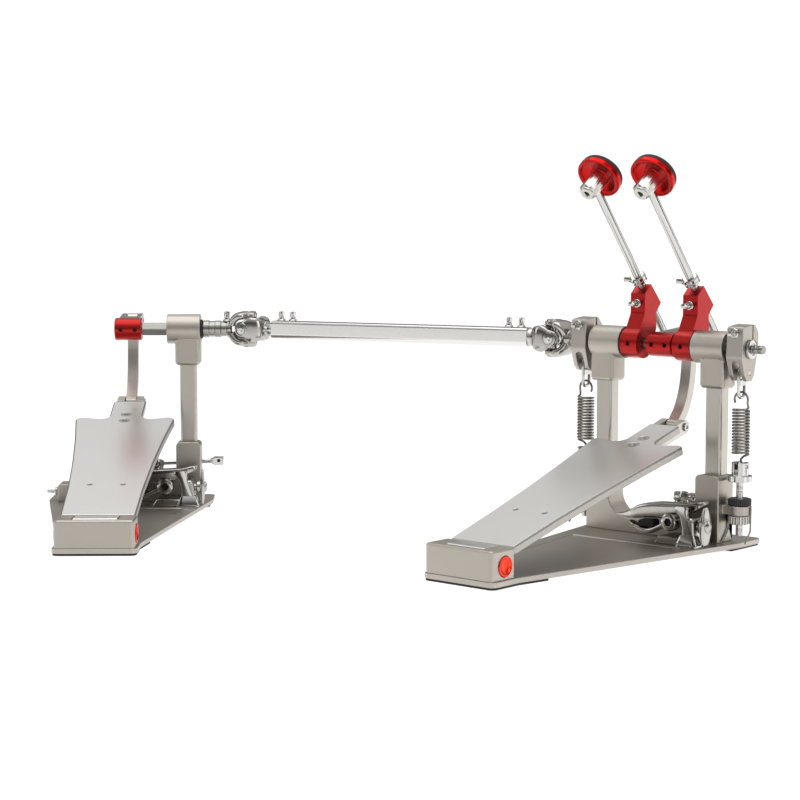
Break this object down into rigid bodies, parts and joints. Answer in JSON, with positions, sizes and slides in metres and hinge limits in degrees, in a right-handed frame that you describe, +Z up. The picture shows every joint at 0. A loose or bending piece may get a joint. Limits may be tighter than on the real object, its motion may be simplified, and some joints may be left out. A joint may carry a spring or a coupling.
{
  "type": "bass drum pedal",
  "caption": "Double bass drum pedal: two direct-drive footboards, two red-holder beaters, a telescoping shaft with universal joints, springs and hoop clamps.",
  "frame": {"origin": "on the floor under the rear rubber pad, below the middle of the primary pedal axle", "axes": "+X along the primary axle to the player's right, +Y forward to the drum, +Z up; the secondary pedal stands to the left, turned 42.2 degrees"},
  "size_m": [0.7925, 0.5217, 0.3904],
  "materials": {
    "cast_grey": "satin, fine bead-blasted casting",
    "board_aluminium": "brushed satin",
    "bright_aluminium": "polished",
    "red_anodised": "anodised, satin gloss",
    "chrome": "mirror polished",
    "axle_steel": "ground steel",
    "spring_steel": "dark nickel",
    "black_rubber": "matt"
  },
  "bodies": {
    "root": {"primary_base_plate": "cast_grey", "primary_foot_pads": "black_rubber", "primary_heel_block": "cast_grey", "primary_hinge_pin_and_caps": "red_anodised", "primary_stand_foot": "cast_grey", "primary_posts": "bright_aluminium", "primary_bearing_heads": "cast_grey", "primary_clamp_foot": "chrome", "adjuster_bails": "axle_steel"},
    "primary_footboard": {"primary_footboard": "board_aluminium", "primary_footboard_screws": "axle_steel", "primary_heel_leaf_and_toe_bracket": "bright_aluminium"},
    "primary_link": {"primary_drive_link": "cast_grey"},
    "right_axle": {"right_axle": "axle_steel", "right_axle_bolts": "chrome", "right_beater_holder": "red_anodised", "right_spring_cam": "cast_grey", "primary_drive_cam": "red_anodised"},
    "right_beater": {"right_beater_rod": "axle_steel", "right_beater_head": "red_anodised", "right_beater_pad": "black_rubber"},
    "right_spring": {"right_spring": "spring_steel"},
    "right_hook": {"right_spring_hook": "chrome"},
    "right_tensioner": {"right_tension_rod": "chrome"},
    "right_tension_nuts": {"right_tension_nuts": "chrome"},
    "left_axle": {"left_axle": "chrome", "left_axle_bolts": "chrome", "left_beater_holder": "red_anodised", "left_spring_cam": "cast_grey"},
    "left_beater": {"left_beater_rod": "axle_steel", "left_beater_head": "red_anodised", "left_beater_pad": "black_rubber"},
    "left_spring": {"left_spring": "spring_steel"},
    "left_hook": {"left_spring_hook": "chrome"},
    "left_tensioner": {"left_tension_rod": "chrome"},
    "left_tension_nuts": {"left_tension_nuts": "chrome"},
    "primary_cross": {"primary_joint_cross": "chrome"},
    "shaft": {"shaft_bar": "bright_aluminium", "shaft_bolts": "chrome", "primary_shaft_fork": "chrome"},
    "secondary_stand": {"secondary_base_plate": "cast_grey", "secondary_foot_pads": "black_rubber", "secondary_heel_block": "cast_grey", "secondary_hinge_pin_and_caps": "red_anodised", "secondary_stand_foot": "cast_grey", "secondary_post": "bright_aluminium", "secondary_bearing_head": "cast_grey", "secondary_clamp_foot": "chrome"},
    "secondary_rod": {"secondary_shaft_rod": "chrome"},
    "secondary_axle": {"secondary_axle": "chrome", "secondary_drive_cam": "red_anodised"},
    "secondary_cross": {"secondary_joint_cross": "chrome"},
    "secondary_footboard": {"secondary_footboard": "board_aluminium", "secondary_footboard_screws": "axle_steel", "secondary_heel_leaf_and_toe_bracket": "bright_aluminium"},
    "secondary_link": {"secondary_drive_link": "cast_grey"},
    "primary_clamp": {"primary_clamp_rocker": "chrome"},
    "primary_wing_screw": {"primary_wing_screw": "chrome"},
    "secondary_clamp": {"secondary_clamp_rocker": "chrome"},
    "secondary_wing_screw": {"secondary_wing_screw": "chrome"}
  },
  "joints": [
    {"name": "right_axle_turn", "type": "hinge", "parent": "root", "child": "right_axle", "pos_m": [0, 0, 0.2], "axis": [-1, 0, 0], "range_deg": [0, 38], "stiffness_Nm_per_rad": 0.7, "springref_deg": -34.38},
    {"name": "left_axle_turn", "type": "hinge", "parent": "root", "child": "left_axle", "pos_m": [0, 0, 0.2], "axis": [-1, 0, 0], "range_deg": [0, 38], "stiffness_Nm_per_rad": 0.7, "springref_deg": -34.38},
    {"name": "primary_footboard_tilt", "type": "hinge", "parent": "root", "child": "primary_footboard", "pos_m": [0.003, -0.307, 0.0195], "axis": [-1, 0, 0], "range_deg": [0, 5.6]},
    {"name": "primary_link_swing", "type": "hinge", "parent": "primary_footboard", "child": "primary_link", "pos_m": [0.003, 0.0185, 0.1155], "axis": [1, 0, 0], "range_deg": [0, 13]},
    {"name": "secondary_footboard_tilt", "type": "hinge", "parent": "secondary_stand", "child": "secondary_footboard", "pos_m": [-0.37378, -0.42843, 0.0195], "axis": [-0.7408, -0.6717, 0], "range_deg": [0, 5.77]},
    {"name": "secondary_link_swing", "type": "hinge", "parent": "secondary_footboard", "child": "secondary_link", "pos_m": [-0.59243, -0.18729, 0.1155], "axis": [0.7408, 0.6717, 0], "range_deg": [0, 13.41]},
    {"name": "right_spring_swing", "type": "hinge", "parent": "root", "child": "right_spring", "pos_m": [0.09425, 0, 0.084], "axis": [1, 0, 0], "range_deg": [0, 8.4]},
    {"name": "right_spring_stretch", "type": "slide", "parent": "right_spring", "child": "right_hook", "axis": [0, 0, 1], "range_m": [0, 0.00515], "deforming": ["right_spring"]},
    {"name": "right_beater_height", "type": "slide", "parent": "right_axle", "child": "right_beater", "axis": [0, -0.6327, 0.7744], "range_m": [0, 0.03]},
    {"name": "right_spring_tension", "type": "slide", "parent": "root", "child": "right_tensioner", "axis": [0, 0, 1], "range_m": [-0.004, 0.004]},
    {"name": "right_tension_nut_turn", "type": "hinge", "parent": "root", "child": "right_tension_nuts", "pos_m": [0.09425, 0, 0.04], "axis": [0, 0, 1], "continuous": true},
    {"name": "left_spring_swing", "type": "hinge", "parent": "root", "child": "left_spring", "pos_m": [-0.09425, 0, 0.084], "axis": [1, 0, 0], "range_deg": [0, 8.4]},
    {"name": "left_spring_stretch", "type": "slide", "parent": "left_spring", "child": "left_hook", "axis": [0, 0, 1], "range_m": [0, 0.00515], "deforming": ["left_spring"]},
    {"name": "left_beater_height", "type": "slide", "parent": "left_axle", "child": "left_beater", "axis": [0, -0.6327, 0.7744], "range_m": [0, 0.03]},
    {"name": "left_spring_tension", "type": "slide", "parent": "root", "child": "left_tensioner", "axis": [0, 0, 1], "range_m": [-0.004, 0.004]},
    {"name": "left_tension_nut_turn", "type": "hinge", "parent": "root", "child": "left_tension_nuts", "pos_m": [-0.09425, 0, 0.04], "axis": [0, 0, 1], "continuous": true},
    {"name": "primary_cross_swing", "type": "hinge", "parent": "left_axle", "child": "primary_cross", "pos_m": [-0.136, 0, 0.2], "axis": [0, 0, 1], "range_deg": [-3.79, 0]},
    {"name": "shaft_turn", "type": "hinge", "parent": "root", "child": "shaft", "pos_m": [-0.136, 0, 0.2], "axis": [-0.9521, -0.3059, 0], "range_deg": [0, 36.69]},
    {"name": "secondary_stand_slide", "type": "slide", "parent": "root", "child": "secondary_stand", "axis": [-0.9521, -0.3059, 0], "range_m": [-0.004, 0.06]},
    {"name": "shaft_rod_turn", "type": "hinge", "parent": "secondary_stand", "child": "secondary_rod", "pos_m": [-0.48036, -0.11065, 0.2], "axis": [-0.9521, -0.3059, 0], "range_deg": [0, 36.69]},
    {"name": "secondary_axle_turn", "type": "hinge", "parent": "secondary_stand", "child": "secondary_axle", "pos_m": [-0.48036, -0.11065, 0.2], "axis": [-0.7408, -0.6717, 0], "range_deg": [0, 39.19]},
    {"name": "secondary_cross_swing", "type": "hinge", "parent": "secondary_axle", "child": "secondary_cross", "pos_m": [-0.48036, -0.11065, 0.2], "axis": [0, 0, 1], "range_deg": [0, 5.29]},
    {"name": "primary_clamp_close", "type": "hinge", "parent": "root", "child": "primary_clamp", "pos_m": [0.043, 0, 0.03], "axis": [0, -1, 0], "range_deg": [0, 10]},
    {"name": "primary_wing_screw_turn", "type": "hinge", "parent": "root", "child": "primary_wing_screw", "pos_m": [0.08, -0.046, 0.028], "axis": [1, 0, 0], "continuous": true},
    {"name": "secondary_clamp_close", "type": "hinge", "parent": "secondary_stand", "child": "secondary_clamp", "pos_m": [-0.54814, -0.17212, 0.03], "axis": [0.6717, -0.7408, 0], "range_deg": [0, 10]},
    {"name": "secondary_wing_screw_turn", "type": "hinge", "parent": "secondary_stand", "child": "secondary_wing_screw", "pos_m": [-0.48984, -0.18134, 0.028], "axis": [0.7408, 0.6717, 0], "continuous": true}
  ],
  "couplings": [
    {"joint": "primary_footboard_tilt", "follows": "right_axle_turn", "ratio": 0.14723},
    {"joint": "primary_link_swing", "follows": "right_axle_turn", "ratio": 0.34212},
    {"joint": "secondary_footboard_tilt", "follows": "left_axle_turn", "ratio": 0.15185},
    {"joint": "secondary_link_swing", "follows": "left_axle_turn", "ratio": 0.35285},
    {"joint": "right_spring_swing", "follows": "right_axle_turn", "ratio": 0.22113},
    {"joint": "right_spring_stretch", "follows": "right_axle_turn", "m_per_rad": 0.007756},
    {"joint": "left_spring_swing", "follows": "left_axle_turn", "ratio": 0.22113},
    {"joint": "left_spring_stretch", "follows": "left_axle_turn", "m_per_rad": 0.007756},
    {"joint": "primary_cross_swing", "follows": "left_axle_turn", "ratio": -0.099629},
    {"joint": "shaft_turn", "follows": "left_axle_turn", "ratio": 0.96551},
    {"joint": "shaft_rod_turn", "follows": "left_axle_turn", "ratio": 0.96551},
    {"joint": "secondary_axle_turn", "follows": "left_axle_turn", "ratio": 1.0314},
    {"joint": "secondary_cross_swing", "follows": "left_axle_turn", "ratio": 0.13917}
  ]
}
